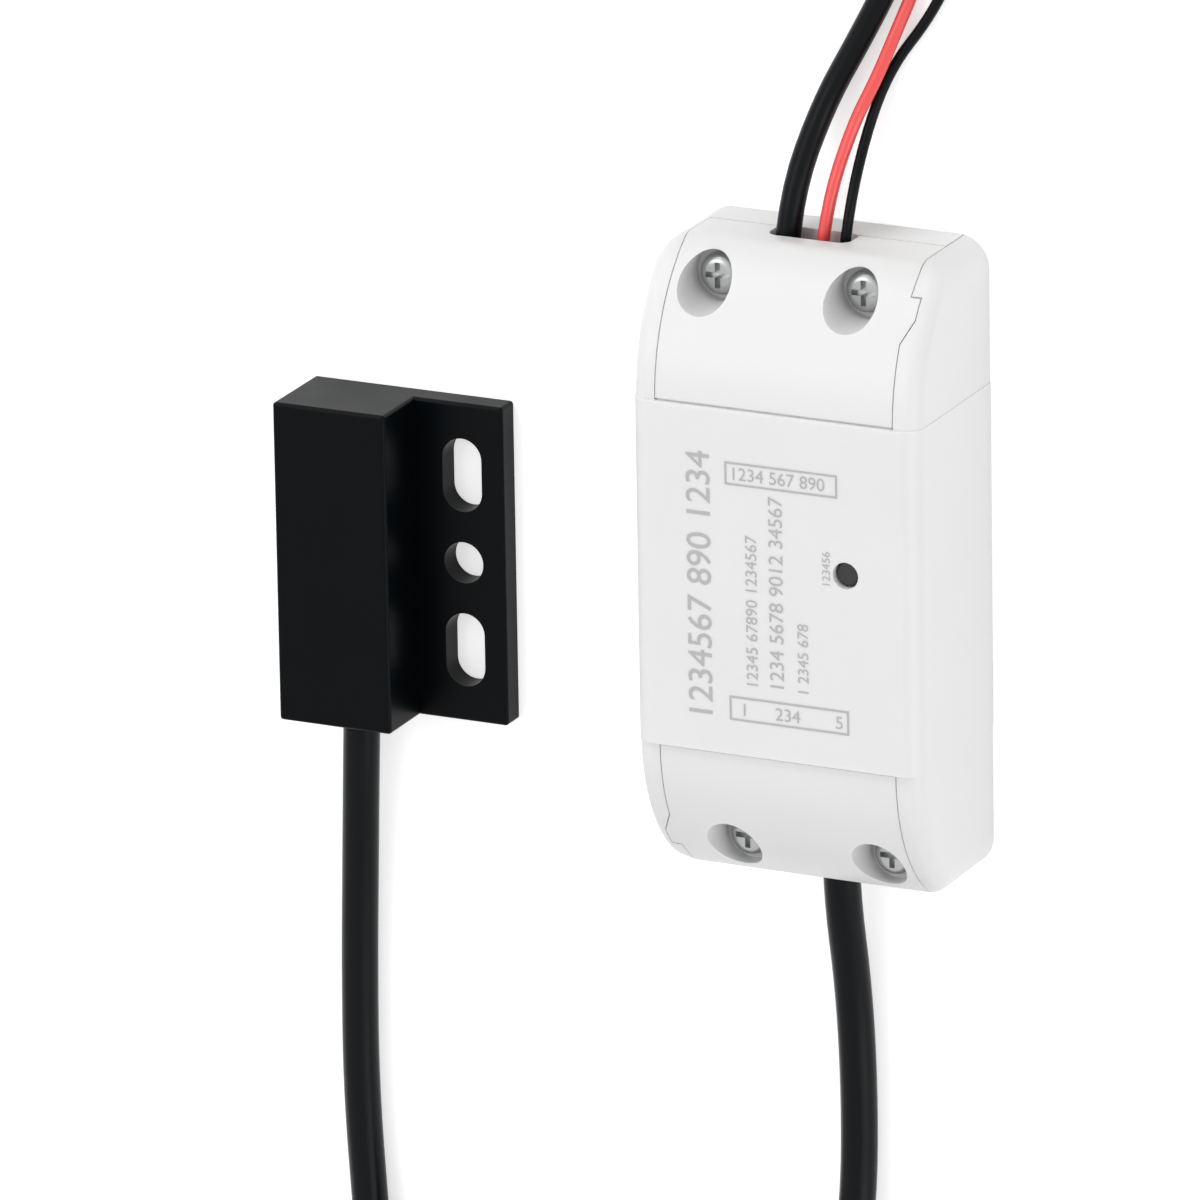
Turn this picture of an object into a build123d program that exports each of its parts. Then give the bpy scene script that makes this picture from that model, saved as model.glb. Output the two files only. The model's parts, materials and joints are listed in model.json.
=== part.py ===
from build123d import *
import math
import os

os.makedirs("parts", exist_ok=True)

# Wired gate controller: a flat white box with leads at both ends, and a black reed sensor on a cable.
# Millimetres. +X runs from the sensor to the box, +Y towards the end with three leads, +Z out of the
# front face. Both lie on their backs at Z = 0, and the origin is the middle of their common footprint.

# Driving sizes of the controller case
case_length = 91.0
case_width = 43.0
case_height = 25.0
case_corner = 4.5  # radius of the four upright corners
case_edge = 2.4  # rounding of the front edges
case_wall = 1.8
cover_length = 20.8  # each end cover; the raised panel of the front fills the length between them
panel_step = 0.6  # the end covers and cheeks lie this much lower
side_step = 0.1  # and this much further in at the sides
arch_radius = 24.7  # the ends fall away from the panel on this arc
base_floor = 2.0
cheek_width = 3.7  # the strip of the front shell beside each end cover
seam = 0.3  # open line between two mouldings
split_height = 6.0  # the base's end walls reach up to here, the end covers come down to here
rib = 1.2

# Finger tab of an end cover, which steps out over one cheek
tab_reach = 1.5
tab_length = 5.5
tab_from_end = 4.0

# End cover screws
screw_across = 21.8  # between the two screws of one end
screw_from_end = 5.3
screw_shift = 1.7  # each pair lies this far off the middle, away from its finger tab
screw_head_radius = 3.0
screw_head_height = 2.2
screw_head_round = 1.3
screw_shank_radius = 1.45
screw_length = 9.0
screw_seat = 12.4  # height of the seat under the head
seat_thickness = 1.6
well_radius = 3.9
well_wall = 1.0
post_radius = 3.5
fit_gap = 0.1  # between mouldings that touch in use
screw_gap = 0.05

# Button and the push switch under it
button_x = 10.8
button_y = 3.2
button_radius = 1.7
button_gap = 0.2
button_recess = 0.8
button_travel = 0.4
guide_wall = 1.0
guide_depth = 4.0
switch_size = 6.0
switch_height = 3.5
switch_plate = 0.3
flange_radius = 2.3
flange_thickness = 0.8
dome_radius = 2.2
dome_height = button_travel + fit_gap  # still slightly arched when the button is down

# Main board
board_width = 36.0
board_from_end = 10.4
board_thickness = 1.6
board_height = 5.0  # underside of the board above the table
board_post_radius = 2.6
board_screw_radius = 1.0
board_screw_across = 30.0
board_screw_from_end = 6.5  # from the board's own ends

# Leads of the controller: place across, height and diameter where they leave the wall
lead_start = 3.0  # the free leads begin this far inside the outer end face
power_lead_x = -5.2
power_lead_diameter = 3.5
red_wire_x = 0.0
red_wire_diameter = 1.8
black_wire_x = 3.3
black_wire_diameter = 1.5
lead_height = 8.0
slot_x = -1.2  # middle of the slot that the three leads leave by
slot_width = 12.2
slot_low = 5.4
slot_high = 10.2
sensor_cable_x = 1.0
sensor_cable_diameter = 5.2
cable_clearance = 0.15
core_diameter = 1.3

# Terminal blocks
terminal_depth = 9.0
terminal_height = 10.0
terminal_screw_radius = 1.4
upper_terminal_width = 14.5
upper_terminal_x = -0.85
lower_terminal_width = 11.0
cage_size = 2.6

# Relay
relay_x = -7.5
relay_length = 19.0
relay_width = 15.5
relay_height = 15.3
relay_wall = 0.8
relay_base_height = 2.0
relay_clearance = 0.15
yoke_thickness = 1.0
yoke_width = 9.0
core_radius = 1.6
pole_radius = 3.0
pole_height = 11.0  # top of the pole above the board
bobbin_flange = 5.0  # half width of the bobbin's end plates
winding_radius = 4.6
armature_gap = 0.9
armature_thickness = 1.0
armature_angle = 5.0

# Radio module and small parts
module_width = 16.0
module_length = 23.5
can_height = 2.4
capacitor_radius = 4.0
capacitor_height = 11.5

# Driving sizes of the sensor
sensor_length = 46.6
sensor_block_width = 17.3
sensor_flange_width = 13.5
sensor_height = 13.3
flange_height = 3.7
sensor_edge = 0.5
sensor_wall = 2.0
sensor_end_wall = 4.0
sensor_y = -10.0  # middle of the sensor along the row
mount_hole_radius = 3.0
mount_slot_length = 10.7
mount_pitch = 12.8
mount_from_block = 7.2  # hole line from the block's side
sensor_plate = 1.5
sensor_cable_height = 4.4
reed_radius = 1.2
reed_length = 14.0
reed_wire_radius = 0.25

# How far the sensor lies from the controller
spacing = 29.5

# Put-away coils: wire gap beside and above, ties
coil_gap = 0.6
tie_thickness = 0.6
tie_clearance = 0.35

sensor_width = sensor_block_width + sensor_flange_width
overall_width = sensor_width + spacing + case_width
case_x = overall_width / 2 - case_width / 2
sensor_left = -overall_width / 2
block_right = sensor_left + sensor_block_width
block_x = sensor_left + sensor_block_width / 2
hole_x = block_right + mount_from_block
end_y = case_length / 2
cheek_x = case_width / 2 - cheek_width
panel_length = case_length - 2 * cover_length
panel_y = panel_length / 2
screw_along = case_length - 2 * screw_from_end
tab_end = case_length / 2 - tab_from_end
tab_start = tab_end - tab_length
board_length = case_length - 2 * board_from_end
board_screw_along = board_length - 2 * board_screw_from_end
board_top = board_height + board_thickness
relay_y = (module_length + rib) / 2  # relay and radio module share the middle of the board
screw_points = [
    (case_x + end * (hand * screw_across / 2 - screw_shift), end * screw_along / 2)
    for end in (-1, 1)
    for hand in (-1, 1)
]


def save(piece, name):
    """Labels one finished piece and writes its STEP file."""
    piece.label = name
    export_step(piece, f"parts/{name}.step")


def case_form(inset, radius, width):
    """The case's arched outer form, drawn in by inset everywhere but at the back."""
    top = case_height - panel_step - inset
    reach = end_y - inset
    arch = arch_radius - inset
    with BuildPart() as form:
        with BuildSketch(Plane.YZ.offset(case_x)):
            with BuildLine():
                drop = arch - math.sqrt(arch**2 - (reach - panel_y) ** 2)
                Polyline((-reach, top - drop), (-reach, 0), (reach, 0), (reach, top - drop))
                TangentArc((panel_y, top), (reach, top - drop), tangent=(1, 0))
                TangentArc((-panel_y, top), (-reach, top - drop), tangent=(-1, 0))
                Line((-panel_y, top), (panel_y, top))
            make_face()
        extrude(amount=width / 2 - inset, both=True)
        with BuildSketch(Plane.XY):
            with Locations((case_x, 0)):
                RectangleRounded(width - 2 * inset, 2 * reach, case_corner - inset)
        extrude(amount=case_height, mode=Mode.INTERSECT)
        if radius > 0:
            outer = form.edges().filter_by(lambda e: e.bounding_box().min.Z > split_height)
            level = outer.filter_by(Axis.X).filter_by(lambda e: e.center().Y ** 2 < (panel_y + 1) ** 2)
            fillet(outer - level, radius)
    return form.part


def end_region(turn):
    """Everything in front of the split and between the cheeks at one end, with the finger tab."""
    side = cheek_x - seam / 2
    inner = panel_y + seam
    with BuildPart() as region:
        with BuildSketch(Plane.XY.offset(split_height + seam / 2)):
            with BuildLine():
                Polyline(
                    (-side, inner),
                    (side, inner),
                    (side, tab_start),
                    (side + tab_reach, tab_start + 2 * tab_reach),
                    (side + tab_reach, tab_end),
                    (side, tab_end),
                    (side, case_length),
                    (-side, case_length),
                    close=True,
                )
            make_face()
        extrude(amount=case_height)
    return Pos(case_x, 0, 0) * (Rot(0, 0, turn) * region.part)


outer_form = case_form(0, case_edge, case_width - 2 * side_step)
inner_form = case_form(case_wall, 0, case_width)

# Base tray: floor, half-height end walls, screw posts, board posts and side rails
rail_x = case_width / 2 - case_wall - fit_gap
rail_height = board_height
lug_length = 6.0
lug_reach = 0.6
lug_y = 16.0
with BuildPart() as base_tray:
    with BuildSketch(Plane.XY):
        with Locations((case_x, 0)):
            tray_length = case_length - 2 * case_wall - 2 * fit_gap
            RectangleRounded(2 * rail_x, tray_length, case_corner - case_wall)
    extrude(amount=base_floor)
    for end in (-1, 1):
        with BuildSketch(Plane.XY):
            with Locations((case_x, end * (end_y - (case_wall + fit_gap) / 2))):
                Rectangle(2 * (cheek_x - seam / 2), case_wall + fit_gap)
        extrude(amount=split_height - seam / 2)
        with BuildSketch(Plane.XY.offset(base_floor)):
            with Locations((case_x - end * screw_shift, end * screw_along / 2)):
                with GridLocations(screw_across, 0, 2, 1):
                    Circle(post_radius)
            with Locations((case_x, end * (end_y - case_wall - fit_gap))):
                Rectangle(
                    case_width,
                    case_length,
                    align=(Align.CENTER, Align.MAX if end == 1 else Align.MIN),
                    mode=Mode.INTERSECT,
                )
        extrude(amount=screw_seat - seat_thickness - fit_gap - base_floor)
    with BuildSketch(Plane.XY.offset(base_floor)):
        with Locations((case_x, 0)):
            with GridLocations(board_screw_across, board_screw_along, 2, 2):
                Circle(board_post_radius)
    extrude(amount=board_height - base_floor)
    with BuildSketch(Plane.XY.offset(base_floor)):
        with Locations((case_x, 0)):
            with GridLocations(2 * rail_x - rib, 0, 2, 1):
                Rectangle(rib, panel_length)
    extrude(amount=rail_height - base_floor)
    for side in (-1, 1):
        for lug in (-lug_y, lug_y):
            with BuildSketch(Plane.XY.offset(base_floor + rib)):
                with Locations((case_x + side * (rail_x + (lug_reach - rib) / 2), lug)):
                    Rectangle(lug_reach + rib, lug_length)
            extrude(amount=rib)
    with Locations(*[(x, y, screw_seat) for x, y in screw_points]):
        Cylinder(
            screw_shank_radius + screw_gap,
            2 * (screw_length + seat_thickness),
            mode=Mode.SUBTRACT,
        )
    with Locations((case_x, 0, board_top)):
        with GridLocations(board_screw_across, board_screw_along, 2, 2):
            Cylinder(board_screw_radius + screw_gap, 2 * (board_top - base_floor), mode=Mode.SUBTRACT)
    with BuildSketch(Plane.XZ.offset(-end_y - seam)):
        with Locations((case_x + slot_x, (slot_low + slot_high) / 2)):
            RectangleRounded(slot_width, slot_high - slot_low, (slot_high - slot_low) / 3)
    extrude(amount=case_wall + 1, mode=Mode.SUBTRACT)
    with BuildSketch(Plane.XZ.offset(end_y + seam)):
        with Locations((case_x + sensor_cable_x, split_height)):
            Circle(sensor_cable_diameter / 2 + cable_clearance)
    extrude(amount=-case_wall - 1, mode=Mode.SUBTRACT)
save(base_tray.part, "base_tray")

# Front shell: the raised panel, the side walls and the four cheeks
pocket_gap = 0.2
partition_low = 12.0
with BuildPart() as front_shell:
    add(outer_form)
    with BuildSketch(Plane.XZ.offset(-panel_y)):
        with Locations((case_x, case_height / 2)):
            Rectangle(case_width, case_height)
    extrude(amount=panel_length)
    panel_edges = front_shell.edges().filter_by(Axis.Y).filter_by(
        lambda e: abs(e.center().Z - case_height) < 0.01
    )
    fillet(panel_edges, case_edge + panel_step)
    add(inner_form, mode=Mode.SUBTRACT)
    with BuildSketch(Plane.XY.offset(-1)):
        with Locations((case_x, 0)):
            Rectangle(2 * cheek_x, case_length + 2, mode=Mode.ADD)
            Rectangle(2 * cheek_x, panel_length, mode=Mode.SUBTRACT)
    extrude(amount=case_height + 2, mode=Mode.SUBTRACT)
    for turn in (0, 180):
        cut = offset(end_region(turn), amount=seam / 2, kind=Kind.INTERSECTION, mode=Mode.PRIVATE)
        add(cut, mode=Mode.SUBTRACT)
    for end in (-1, 1):
        with BuildSketch(Plane.XY.offset(partition_low)):
            with Locations((case_x, end * (panel_y - rib / 2))):
                Rectangle(case_width - 2 * case_wall, rib)
        extrude(amount=case_height - panel_step - case_wall - partition_low)
    ceiling = case_height - panel_step - case_wall
    with Locations((case_x + button_x, button_y, ceiling)):
        Cylinder(
            button_radius + button_gap + guide_wall,
            guide_depth,
            align=(Align.CENTER, Align.CENTER, Align.MAX),
        )
        Cylinder(button_radius + button_gap, 3 * guide_depth, mode=Mode.SUBTRACT)
    for side in (-1, 1):
        for lug in (-lug_y, lug_y):
            reach = lug_reach + pocket_gap
            with BuildSketch(Plane.XY.offset(base_floor + rib - pocket_gap)):
                with Locations((case_x + side * (rail_x + reach / 2), lug)):
                    Rectangle(reach, lug_length + 2 * pocket_gap)
            extrude(amount=rib + 2 * pocket_gap, mode=Mode.SUBTRACT)
save(front_shell.part, "front_shell")

# End covers: one moulding at each end, turned half round, with its own cable opening
for name, turn in (("upper_end_cover", 0), ("lower_end_cover", 180)):
    end = 1 if turn == 0 else -1
    with BuildPart() as wells:
        with Locations((case_x - end * screw_shift, end * screw_along / 2, screw_seat - seat_thickness)):
            with GridLocations(screw_across, 0, 2, 1):
                Cylinder(
                    well_radius + well_wall,
                    case_height,
                    align=(Align.CENTER, Align.CENTER, Align.MIN),
                )
        add(outer_form, mode=Mode.INTERSECT)
    with BuildPart() as cover:
        add(outer_form)
        add(inner_form, mode=Mode.SUBTRACT)
        add(wells.part)
        add(end_region(turn), mode=Mode.INTERSECT)
        with Locations((case_x - end * screw_shift, end * screw_along / 2, screw_seat)):
            with GridLocations(screw_across, 0, 2, 1):
                Cylinder(
                    well_radius,
                    case_height,
                    align=(Align.CENTER, Align.CENTER, Align.MIN),
                    mode=Mode.SUBTRACT,
                )
                Cylinder(screw_shank_radius + fit_gap, 3 * seat_thickness, mode=Mode.SUBTRACT)
        if end == 1:
            with BuildSketch(Plane.XZ.offset(-end_y - seam)):
                with Locations((case_x + slot_x, (slot_low + slot_high) / 2)):
                    RectangleRounded(slot_width, slot_high - slot_low, (slot_high - slot_low) / 3)
            extrude(amount=case_wall + 1, mode=Mode.SUBTRACT)
        else:
            with BuildSketch(Plane.XZ.offset(end_y + seam)):
                with Locations((case_x + sensor_cable_x, split_height)):
                    Circle(sensor_cable_diameter / 2 + cable_clearance)
            extrude(amount=-case_wall - 1, mode=Mode.SUBTRACT)
    save(cover.part, name)

# Four pan head screws with a cross recess
recess_length = 3.6
recess_width = 0.8
recess_depth = 1.2
with BuildPart() as end_cover_screws:
    with Locations(*[(x, y, screw_seat) for x, y in screw_points]):
        Cylinder(
            screw_head_radius,
            screw_head_height,
            align=(Align.CENTER, Align.CENTER, Align.MIN),
        )
        Cylinder(
            screw_shank_radius,
            screw_length,
            align=(Align.CENTER, Align.CENTER, Align.MAX),
        )
    rims = end_cover_screws.edges().filter_by(GeomType.CIRCLE).group_by(Axis.Z)[-1]
    fillet(rims, screw_head_round)
    with Locations(*[(x, y, screw_seat + screw_head_height - recess_depth) for x, y in screw_points]):
        for across, along in ((recess_length, recess_width), (recess_width, recess_length)):
            Box(
                across,
                along,
                2 * recess_depth,
                align=(Align.CENTER, Align.CENTER, Align.MIN),
                mode=Mode.SUBTRACT,
            )
save(end_cover_screws.part, "end_cover_screws")

# Main board with its screw holes and the holes for the relay's pins
pin_radius = 0.45
pin_gap = 0.1
pin_places = [(-5.0, 7.0), (5.0, 7.0), (-5.0, -7.0), (5.0, -7.0), (0.0, -8.0)]
with BuildPart() as main_board:
    with BuildSketch(Plane.XY.offset(board_height)):
        with Locations((case_x, 0)):
            RectangleRounded(board_width, board_length, rib)
            with GridLocations(board_screw_across, board_screw_along, 2, 2):
                Circle(board_screw_radius + fit_gap, mode=Mode.SUBTRACT)
        with Locations(*[(case_x + relay_x + u, relay_y + v) for u, v in pin_places]):
            Circle(pin_radius + pin_gap, mode=Mode.SUBTRACT)
    extrude(amount=board_thickness)
save(main_board.part, "main_board")

board_head_radius = 1.8
board_head_height = 1.3
board_screw_length = 4.0
with BuildPart() as board_screws:
    with Locations((case_x, 0, board_top)):
        with GridLocations(board_screw_across, board_screw_along, 2, 2):
            Cylinder(
                board_head_radius,
                board_head_height,
                align=(Align.CENTER, Align.CENTER, Align.MIN),
            )
            Cylinder(
                board_screw_radius,
                board_screw_length,
                align=(Align.CENTER, Align.CENTER, Align.MAX),
            )
    with Locations((case_x, 0, board_top + board_head_height / 2)):
        with GridLocations(board_screw_across, board_screw_along, 2, 2):
            Box(
                2 * board_head_radius - recess_width,
                recess_width / 2,
                board_head_height,
                align=(Align.CENTER, Align.CENTER, Align.MIN),
                mode=Mode.SUBTRACT,
            )
save(board_screws.part, "board_screws")

# Terminal blocks: a pocket for each wire, with a clamp cage in it and a screw above
cage_gap = 0.15
terminal_end = board_length / 2
upper_ways = [power_lead_x, red_wire_x, black_wire_x]
lower_ways = [sensor_cable_x - terminal_height / 4, sensor_cable_x + terminal_height / 4]
cage_low = 1.2  # under side of a cage above the board
cage_middle = board_top + cage_low + cage_size / 2
screw_low = board_top + cage_low + cage_size + cage_gap
blocks = (
    ("upper_terminal_block", 1, upper_terminal_x, upper_terminal_width, upper_ways),
    ("lower_terminal_block", -1, sensor_cable_x, lower_terminal_width, lower_ways),
)
for name, end, middle, width, ways in blocks:
    wall_y = end * (terminal_end - terminal_depth / 2)
    with BuildPart() as terminal_block:
        with BuildSketch(Plane.XY.offset(board_top)):
            with Locations((case_x + middle, wall_y)):
                Rectangle(width, terminal_depth)
        extrude(amount=terminal_height)
        with Locations(*[(case_x + x, end * terminal_end, cage_middle) for x in ways]):
            Box(
                cage_size + 2 * cage_gap,
                2 * (terminal_depth - 2 * rib),
                cage_size + 2 * cage_gap,
                mode=Mode.SUBTRACT,
            )
        with Locations(*[(case_x + x, wall_y, screw_low) for x in ways]):
            Cylinder(
                terminal_screw_radius + cage_gap,
                terminal_height,
                align=(Align.CENTER, Align.CENTER, Align.MIN),
                mode=Mode.SUBTRACT,
            )
    save(terminal_block.part, name)

all_ways = [(x, 1) for x in upper_ways] + [(x, -1) for x in lower_ways]
terminal_screw_height = 4.0
terminal_points = [(case_x + x, end * (terminal_end - terminal_depth / 2)) for x, end in all_ways]
with BuildPart() as terminal_cages:
    with Locations(*[(x, y, cage_middle) for x, y in terminal_points]):
        Box(cage_size, cage_size * 1.2, cage_size)
        Box(cage_size - 2 * switch_plate, cage_size * 2, cage_size - 2 * switch_plate, mode=Mode.SUBTRACT)
save(terminal_cages.part, "terminal_cages")

with BuildPart() as terminal_screws:
    with Locations(*[(x, y, screw_low) for x, y in terminal_points]):
        Cylinder(
            terminal_screw_radius,
            terminal_screw_height,
            align=(Align.CENTER, Align.CENTER, Align.MIN),
        )
    with Locations(*[(x, y, screw_low + terminal_screw_height) for x, y in terminal_points]):
        Box(3 * terminal_screw_radius, recess_width, recess_depth, mode=Mode.SUBTRACT)
save(terminal_screws.part, "terminal_screws")

# Push switch: body with a round chamber, metal frame, snap dome, and the tall stem that shows in the panel
switch_floor = board_top + 0.8
switch_top = board_top + switch_height
flange_top = switch_top - fit_gap / 2
button_point = (case_x + button_x, button_y)
with BuildPart() as switch_body:
    with BuildSketch(Plane.XY.offset(board_top)):
        with Locations(button_point):
            RectangleRounded(switch_size, switch_size, switch_plate)
    extrude(amount=switch_height)
    with BuildSketch(Plane.XY.offset(switch_floor)):
        with Locations(button_point):
            Circle(flange_radius + button_gap)
    extrude(amount=switch_height, mode=Mode.SUBTRACT)
save(switch_body.part, "switch_body")

with BuildPart() as switch_frame:
    with BuildSketch(Plane.XY.offset(switch_top)):
        with Locations(button_point):
            RectangleRounded(switch_size, switch_size, switch_plate)
            Circle(button_radius + button_gap, mode=Mode.SUBTRACT)
    extrude(amount=switch_plate)
save(switch_frame.part, "switch_frame")

dome_top = switch_floor + dome_height + switch_plate
with BuildPart() as switch_dome:
    with BuildSketch(Plane.XZ):
        with BuildLine():
            Polyline((0, switch_floor + dome_height), (0, dome_top))
            Line((0, dome_top), (dome_radius / 2, dome_top))
            Line((dome_radius / 2, dome_top), (dome_radius, switch_floor + switch_plate))
            Line((dome_radius, switch_floor + switch_plate), (dome_radius, switch_floor))
            Line((dome_radius, switch_floor), (dome_radius / 2, switch_floor + dome_height))
            Line((dome_radius / 2, switch_floor + dome_height), (0, switch_floor + dome_height))
        make_face()
    revolve(axis=Axis.Z)
save(Pos(*button_point, 0) * switch_dome.part, "switch_dome")

button_top = case_height - button_recess
with BuildPart() as pairing_button:
    with Locations((*button_point, dome_top + fit_gap / 2)):
        Cylinder(button_radius, button_top - dome_top, align=(Align.CENTER, Align.CENTER, Align.MIN))
    fillet(pairing_button.edges().group_by(Axis.Z)[-1], switch_plate)
    with Locations((*button_point, flange_top)):
        Cylinder(flange_radius, flange_thickness, align=(Align.CENTER, Align.CENTER, Align.MAX))
save(pairing_button.part, "pairing_button")

# Relay: base, cover, pins, yoke, core, bobbin, winding, armature with its contact blade, fixed contacts
relay_middle = (case_x + relay_x, relay_y)
relay_floor = board_top + relay_base_height
hinge_back = 7.7  # the armature hinges this far behind the relay's middle
core_back = 1.5
core_y = relay_y - core_back
yoke_y = relay_y - hinge_back
pole_top = board_top + pole_height
yoke_top = pole_top + armature_gap
armature_low = yoke_top + fit_gap
pole_thickness = 0.6
bobbin_plate = 0.8
with BuildPart() as relay_base:
    with BuildSketch(Plane.XY.offset(board_top)):
        with Locations(relay_middle):
            side = 2 * (relay_wall + relay_clearance)
            Rectangle(relay_width - side, relay_length - side)
    extrude(amount=relay_base_height)
save(relay_base.part, "relay_base")

with BuildPart() as relay_cover:
    with BuildSketch(Plane.XY.offset(board_top)):
        with Locations(relay_middle):
            RectangleRounded(relay_width, relay_length, relay_wall / 2)
    extrude(amount=relay_height)
    with BuildSketch(Plane.XY.offset(board_top)):
        with Locations(relay_middle):
            Rectangle(relay_width - 2 * relay_wall, relay_length - 2 * relay_wall)
    extrude(amount=relay_height - relay_wall, mode=Mode.SUBTRACT)
save(relay_cover.part, "relay_cover")

with BuildPart() as relay_pins:
    with Locations(*[(case_x + relay_x + u, relay_y + v, board_top) for u, v in pin_places]):
        Cylinder(pin_radius, board_thickness + rib, align=(Align.CENTER, Align.CENTER, Align.MAX))
save(relay_pins.part, "relay_pins")

with BuildPart() as relay_yoke:
    with BuildSketch(Plane.YZ.offset(case_x + relay_x - yoke_width / 2)):
        with BuildLine():
            Polyline(
                (yoke_y - yoke_thickness / 2, relay_floor),
                (core_y + pole_radius, relay_floor),
                (core_y + pole_radius, relay_floor + yoke_thickness),
                (yoke_y + yoke_thickness / 2, relay_floor + yoke_thickness),
                (yoke_y + yoke_thickness / 2, yoke_top),
                (yoke_y - yoke_thickness / 2, yoke_top),
                close=True,
            )
        make_face()
    extrude(amount=yoke_width)
save(relay_yoke.part, "relay_yoke")

core_foot = relay_floor + yoke_thickness
with BuildPart() as relay_core:
    with Locations((case_x + relay_x, core_y, core_foot)):
        Cylinder(core_radius, pole_top - core_foot, align=(Align.CENTER, Align.CENTER, Align.MIN))
    with Locations((case_x + relay_x, core_y, pole_top)):
        Cylinder(pole_radius, pole_thickness, align=(Align.CENTER, Align.CENTER, Align.MAX))
save(relay_core.part, "relay_core")

bobbin_low = core_foot + screw_gap
bobbin_top = pole_top - pole_thickness - screw_gap
with BuildPart() as relay_bobbin:
    with BuildSketch(Plane.XY.offset(bobbin_low)):
        with Locations((case_x + relay_x, core_y)):
            Rectangle(2 * bobbin_flange, 2 * bobbin_flange)
    extrude(amount=bobbin_top - bobbin_low)
    with Locations((case_x + relay_x, core_y, bobbin_low + bobbin_plate)):
        Cylinder(
            2 * bobbin_flange,
            bobbin_top - bobbin_low - 2 * bobbin_plate,
            align=(Align.CENTER, Align.CENTER, Align.MIN),
            mode=Mode.SUBTRACT,
        )
        Cylinder(
            core_radius + bobbin_plate,
            bobbin_top - bobbin_low - 2 * bobbin_plate,
            align=(Align.CENTER, Align.CENTER, Align.MIN),
        )
    with Locations((case_x + relay_x, core_y, pole_top)):
        Cylinder(core_radius + screw_gap, 2 * pole_height, mode=Mode.SUBTRACT)
save(relay_bobbin.part, "relay_bobbin")

with BuildPart() as relay_winding:
    with BuildSketch(Plane.XY.offset(bobbin_low + bobbin_plate + screw_gap)):
        with Locations((case_x + relay_x, core_y)):
            Circle(winding_radius)
            Circle(core_radius + bobbin_plate + screw_gap, mode=Mode.SUBTRACT)
    extrude(amount=bobbin_top - bobbin_low - 2 * bobbin_plate - 2 * screw_gap)
save(relay_winding.part, "relay_winding")

armature_reach = 11.2  # from the hinge to the armature's free edge
blade_reach = 15.6
contact_reach = 14.7
contact_radius = 0.9
contact_height = 0.5
blade_thickness = 0.2
blade_width = 3.0
armature_top = armature_low + armature_thickness
blade_top = armature_top + blade_thickness
with BuildPart() as relay_armature:
    with BuildSketch(Plane.XY.offset(armature_low)):
        with Locations((case_x + relay_x, yoke_y - yoke_thickness / 2)):
            Rectangle(
                yoke_width,
                armature_reach + yoke_thickness / 2,
                align=(Align.CENTER, Align.MIN),
            )
    extrude(amount=armature_thickness)
save(relay_armature.part, "relay_armature")

with BuildPart() as relay_blade:
    with BuildSketch(Plane.XY.offset(armature_top)):
        with Locations((case_x + relay_x, yoke_y)):
            Rectangle(blade_width, blade_reach, align=(Align.CENTER, Align.MIN))
    extrude(amount=blade_thickness)
    with Locations((case_x + relay_x, yoke_y + contact_reach, armature_top + blade_thickness / 2)):
        Cylinder(contact_radius, 2 * contact_height + blade_thickness)
save(relay_blade.part, "relay_blade")

moving_top = blade_top + contact_height
moving_low = armature_top - contact_height
drop = (contact_reach + contact_radius) * math.sin(math.radians(armature_angle))
contact_gap = 0.05
contact_plate = 0.4
open_low = moving_top + contact_gap
closed_low = moving_low - drop - contact_gap - contact_plate
leg_y = yoke_y + blade_reach + contact_plate
with BuildPart() as relay_contacts:
    for hand, low in ((1, open_low), (-1, closed_low)):
        leg_x = case_x + relay_x + hand * (blade_width + contact_plate)
        with BuildSketch(Plane.XY.offset(low)):
            with Locations((case_x + relay_x + hand * blade_width / 2, leg_y)):
                Rectangle(
                    2 * blade_width,
                    leg_y - yoke_y - contact_reach + contact_radius,
                    align=(Align.CENTER, Align.MAX),
                )
        extrude(amount=contact_plate)
        with BuildSketch(Plane.XY.offset(relay_floor)):
            with Locations((leg_x, leg_y)):
                Rectangle(blade_width / 2, contact_plate, align=(Align.CENTER, Align.MAX))
        extrude(amount=low - relay_floor + contact_plate)
save(relay_contacts.part, "relay_contacts")

# Radio module: its own small board with a shield can and a printed aerial end left free
module_x = case_x + relay_x
module_y = relay_y - relay_length / 2 - rib - module_length / 2
module_thickness = 0.8
module_lift = 0.3
can_length = 15.0
can_margin = 1.5
pad_count = 8
pad_pitch = 2.0
pad_length = 1.0
module_floor = board_top + module_lift
with BuildPart() as radio_board:
    with BuildSketch(Plane.XY.offset(module_floor)):
        with Locations((module_x, module_y)):
            Rectangle(module_width, module_length)
    extrude(amount=module_thickness)
    for side in (-1, 1):
        with BuildSketch(Plane.XY.offset(board_top)):
            with Locations((module_x + side * (module_width / 2 - can_margin / 2), module_y)):
                with GridLocations(0, pad_pitch, 1, pad_count):
                    Rectangle(can_margin / 2, pad_length)
        extrude(amount=module_lift)
save(radio_board.part, "radio_board")

with BuildPart() as radio_can:
    with BuildSketch(Plane.XY.offset(module_floor + module_thickness)):
        with Locations((module_x, module_y + (module_length - can_length) / 2 - can_margin)):
            RectangleRounded(module_width - 2 * can_margin, can_length, can_margin / 2)
    extrude(amount=can_height)
save(radio_can.part, "radio_can")

# Storage capacitors, regulator with two small driver parts, and status light
capacitor_x = case_x + 11.8
capacitor_y = 14.0
capacitor_round = 0.5
with BuildPart() as capacitors:
    with Locations((capacitor_x, capacitor_y, board_top), (capacitor_x, -capacitor_y, board_top)):
        Cylinder(capacitor_radius, capacitor_height, align=(Align.CENTER, Align.CENTER, Align.MIN))
    fillet(capacitors.edges().group_by(Axis.Z)[-1], capacitor_round)
save(capacitors.part, "capacitors")

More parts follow.
